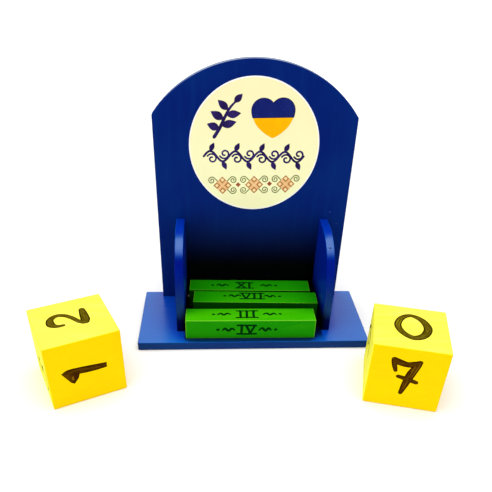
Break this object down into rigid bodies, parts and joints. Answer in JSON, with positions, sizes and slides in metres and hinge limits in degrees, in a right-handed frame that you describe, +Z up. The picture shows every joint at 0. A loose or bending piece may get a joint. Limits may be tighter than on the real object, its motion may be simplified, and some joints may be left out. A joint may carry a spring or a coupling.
{
  "type": "perpetual desk calendar",
  "caption": "Painted plywood desk calendar: arched board and two cheeks on a flat base, with loose square month bars and number cubes.",
  "frame": {"origin": "centre of the base's underside, on the table", "axes": "+X along the base to the right as seen from the front, +Y to the back where the arched board stands, +Z up"},
  "size_m": [0.2612, 0.1325, 0.1765],
  "materials": {
    "blue_paint": "satin paint on plywood",
    "green_paint": "satin paint on solid wood",
    "yellow_paint": "satin paint on solid wood",
    "printed_paper": "matte print"
  },
  "bodies": {
    "stand": {"base_board": "blue_paint", "back_panel": "blue_paint", "cheek_left": "blue_paint", "cheek_right": "blue_paint", "picture_disc": "printed_paper"},
    "month_bar_front": {"month_bar_front": "green_paint"},
    "month_bar_middle": {"month_bar_middle": "green_paint"},
    "month_bar_back": {"month_bar_back": "green_paint"},
    "number_cube_left": {"number_cube_left": "yellow_paint"},
    "number_cube_right": {"number_cube_right": "yellow_paint"}
  },
  "joints": [
    {"name": "month_bar_front_lift", "type": "slide", "parent": "stand", "child": "month_bar_front", "axis": [0, 0, 1], "range_m": [0, 0.19]},
    {"name": "month_bar_middle_lift", "type": "slide", "parent": "stand", "child": "month_bar_middle", "axis": [0, 0, 1], "range_m": [0, 0.19]},
    {"name": "month_bar_back_lift", "type": "slide", "parent": "stand", "child": "month_bar_back", "axis": [0, 0, 1], "range_m": [0, 0.19]},
    {"name": "number_cube_left_lift", "type": "slide", "parent": "stand", "child": "number_cube_left", "axis": [0, 0, 1], "range_m": [0, 0.19]},
    {"name": "number_cube_right_lift", "type": "slide", "parent": "stand", "child": "number_cube_right", "axis": [0, 0, 1], "range_m": [0, 0.19]}
  ]
}
